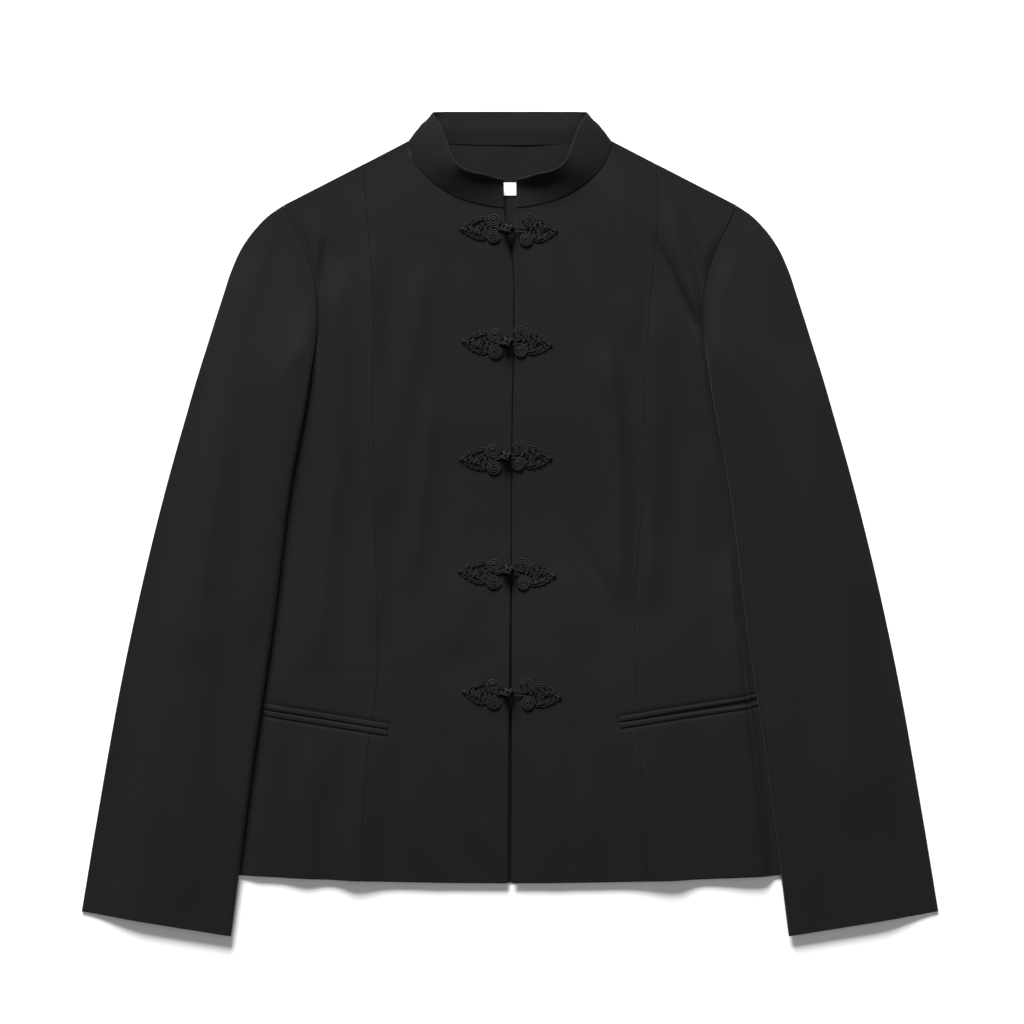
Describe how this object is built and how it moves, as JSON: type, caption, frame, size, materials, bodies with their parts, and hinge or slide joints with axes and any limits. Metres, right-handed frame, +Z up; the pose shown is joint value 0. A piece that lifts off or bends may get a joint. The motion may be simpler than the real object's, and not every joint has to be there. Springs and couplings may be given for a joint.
{
  "type": "tang jacket, laid flat",
  "caption": "Short fitted black jacket laid flat, with a stand collar, princess seams, jetted pockets and knotted cord frog fastenings down its edge-to-edge front.",
  "frame": {"origin": "middle of the jacket's outline seen from above, on the surface that it lies on", "axes": "+X towards the wearer's left, +Y from the hem towards the collar, +Z up from the surface, out of the front"},
  "size_m": [0.7284, 0.6992, 0.023],
  "materials": {
    "suiting": "matte plain-woven black suiting",
    "facing": "matte suiting inside the back neck",
    "frog_cord": "black satin cord with a soft sheen",
    "label_satin": "plain woven satin tape, left bare"
  },
  "bodies": {
    "root": {"back": "suiting", "collar": "suiting", "centre_front_right": "suiting", "side_front_right": "suiting", "sleeve_right": "suiting", "centre_front_left": "suiting", "side_front_left": "suiting", "sleeve_left": "suiting", "pocket_right_upper_jet": "suiting", "pocket_right_lower_jet": "suiting", "pocket_left_upper_jet": "suiting", "pocket_left_lower_jet": "suiting", "neck_facing": "facing", "label": "label_satin", "frog_1_button_half": "frog_cord", "frog_1_loop_half": "frog_cord", "frog_2_button_half": "frog_cord", "frog_2_loop_half": "frog_cord", "frog_3_button_half": "frog_cord", "frog_3_loop_half": "frog_cord", "frog_4_button_half": "frog_cord", "frog_4_loop_half": "frog_cord", "frog_5_button_half": "frog_cord", "frog_5_loop_half": "frog_cord"}
  },
  "joints": []
}
